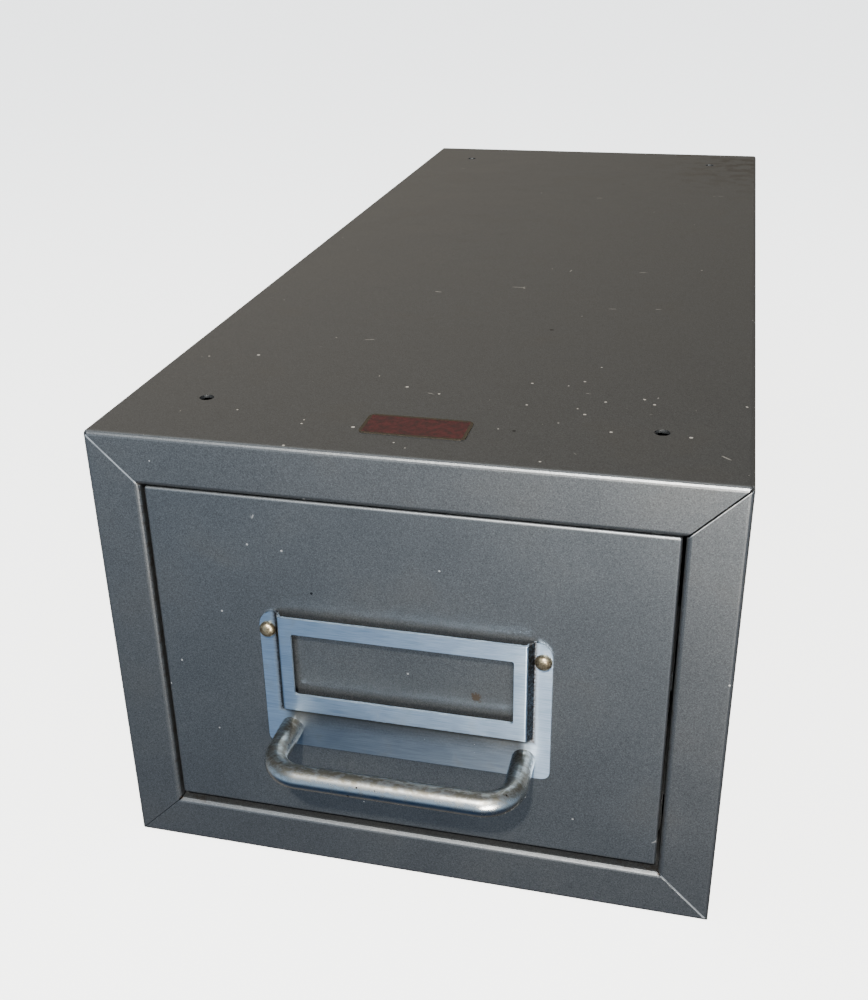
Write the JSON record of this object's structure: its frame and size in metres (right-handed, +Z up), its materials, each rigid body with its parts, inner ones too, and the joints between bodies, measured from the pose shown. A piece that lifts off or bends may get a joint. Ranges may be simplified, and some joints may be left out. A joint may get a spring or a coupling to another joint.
{
  "type": "card file cabinet",
  "caption": "Long steel card index cabinet with a sliding drawer, label holder, bent rod pull, adjustable follower and drop stop.",
  "frame": {"origin": "centre of the case's underside", "axes": "+Z up, +X to the right seen from the front, the drawer opens towards -Y"},
  "size_m": [0.1684, 0.4298, 0.132],
  "materials": {
    "case_enamel": "satin grey metallic enamel, worn",
    "drawer_enamel": "satin blue-grey metallic enamel, worn",
    "plated_steel": "dull zinc plate",
    "holder_metal": "satin, scratched",
    "pull_nickel": "worn nickel plate",
    "rivet_brass": "aged, dull",
    "badge_red": "worn dark red"
  },
  "bodies": {
    "case": {"case_shell": "case_enamel", "bottom_panel": "case_enamel", "back_panel": "case_enamel", "left_runner": "case_enamel", "right_runner": "case_enamel", "hold_down_rail": "case_enamel", "stop_dog_pin": "plated_steel", "top_badge": "badge_red"},
    "stop_dog": {"stop_dog": "plated_steel"},
    "drawer": {"drawer_front": "drawer_enamel", "drawer_tray": "drawer_enamel", "drawer_back": "drawer_enamel", "label_holder": "holder_metal", "holder_rivets": "rivet_brass", "pull_handle": "pull_nickel", "pull_washers": "plated_steel", "pull_screws": "plated_steel", "follower_track": "plated_steel", "track_rivets": "plated_steel"},
    "follower": {"follower_plate": "plated_steel", "follower_shoe": "plated_steel", "lever_pin": "plated_steel"},
    "lock_lever": {"lock_lever": "plated_steel"}
  },
  "joints": [
    {"name": "drawer_slide", "type": "slide", "parent": "case", "child": "drawer", "axis": [0, -1, 0], "range_m": [0, 0.3431]},
    {"name": "follower_slide", "type": "slide", "parent": "drawer", "child": "follower", "axis": [0, -1, 0], "range_m": [0, 0.3342]},
    {"name": "lock_lever_pivot", "type": "hinge", "parent": "follower", "child": "lock_lever", "pos_m": [0, 0.1679, 0.03145], "axis": [1, 0, 0], "range_deg": [0, 60]},
    {"name": "stop_dog_pivot", "type": "hinge", "parent": "case", "child": "stop_dog", "pos_m": [0, -0.1732, 0.1223], "axis": [1, 0, 0], "range_deg": [0, 25]}
  ]
}
